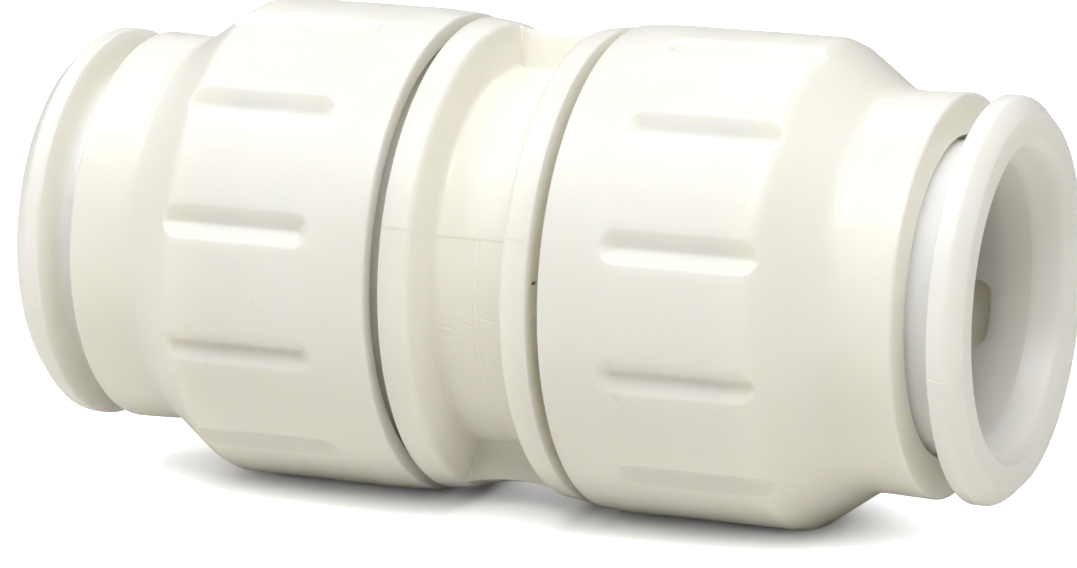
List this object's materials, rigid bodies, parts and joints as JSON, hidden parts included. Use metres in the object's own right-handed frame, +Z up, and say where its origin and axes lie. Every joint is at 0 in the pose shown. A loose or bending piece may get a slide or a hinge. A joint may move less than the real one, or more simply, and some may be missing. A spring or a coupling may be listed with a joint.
{
  "type": "push to connect fitting",
  "caption": "Straight push-fit coupler for plastic or copper pipe: a waisted body with twist-and-lock screw caps and sliding flanged collets at both ends.",
  "frame": {"origin": "middle of the body, on the pipe axis", "axes": "+X along the pipe axis towards the right-hand end, +Z up as the coupler lies on a table"},
  "size_m": [0.08, 0.0388, 0.0388],
  "materials": {
    "body_plastic": "moulded, satin",
    "cap_plastic": "moulded, satin",
    "collet_acetal": "smooth, slightly glossy",
    "washer_plastic": "moulded, satin",
    "seal_rubber": "smooth",
    "tooth_steel": "bright rolled strip"
  },
  "bodies": {
    "coupler_body": {"body": "body_plastic", "left_o_ring": "seal_rubber", "right_o_ring": "seal_rubber"},
    "left_washer": {"left_spacer_washer": "washer_plastic"},
    "left_cap": {"left_screw_cap": "cap_plastic"},
    "left_gripper": {"left_collet": "collet_acetal", "left_grab_tooth_1": "tooth_steel", "left_grab_tooth_2": "tooth_steel", "left_grab_tooth_3": "tooth_steel", "left_grab_tooth_4": "tooth_steel", "left_grab_tooth_5": "tooth_steel", "left_grab_tooth_6": "tooth_steel"},
    "right_washer": {"right_spacer_washer": "washer_plastic"},
    "right_cap": {"right_screw_cap": "cap_plastic"},
    "right_gripper": {"right_collet": "collet_acetal", "right_grab_tooth_1": "tooth_steel", "right_grab_tooth_2": "tooth_steel", "right_grab_tooth_3": "tooth_steel", "right_grab_tooth_4": "tooth_steel", "right_grab_tooth_5": "tooth_steel", "right_grab_tooth_6": "tooth_steel"}
  },
  "joints": [
    {"name": "left_cap_advance", "type": "slide", "parent": "coupler_body", "child": "left_washer", "axis": [1, 0, 0], "range_m": [0, 0.00091]},
    {"name": "left_cap_turn", "type": "hinge", "parent": "left_washer", "child": "left_cap", "pos_m": [0, 0, 0], "axis": [1, 0, 0], "range_deg": [0, 90]},
    {"name": "left_collet_slide", "type": "slide", "parent": "left_cap", "child": "left_gripper", "axis": [1, 0, 0], "range_m": [0, 0.0026]},
    {"name": "right_cap_advance", "type": "slide", "parent": "coupler_body", "child": "right_washer", "axis": [-1, 0, 0], "range_m": [0, 0.00091]},
    {"name": "right_cap_turn", "type": "hinge", "parent": "right_washer", "child": "right_cap", "pos_m": [0, 0, 0], "axis": [-1, 0, 0], "range_deg": [0, 90]},
    {"name": "right_collet_slide", "type": "slide", "parent": "right_cap", "child": "right_gripper", "axis": [-1, 0, 0], "range_m": [0, 0.0026]}
  ],
  "couplings": [
    {"joint": "left_cap_advance", "follows": "left_cap_turn", "m_per_rad": 0.00057296},
    {"joint": "right_cap_advance", "follows": "right_cap_turn", "m_per_rad": 0.00057296}
  ]
}
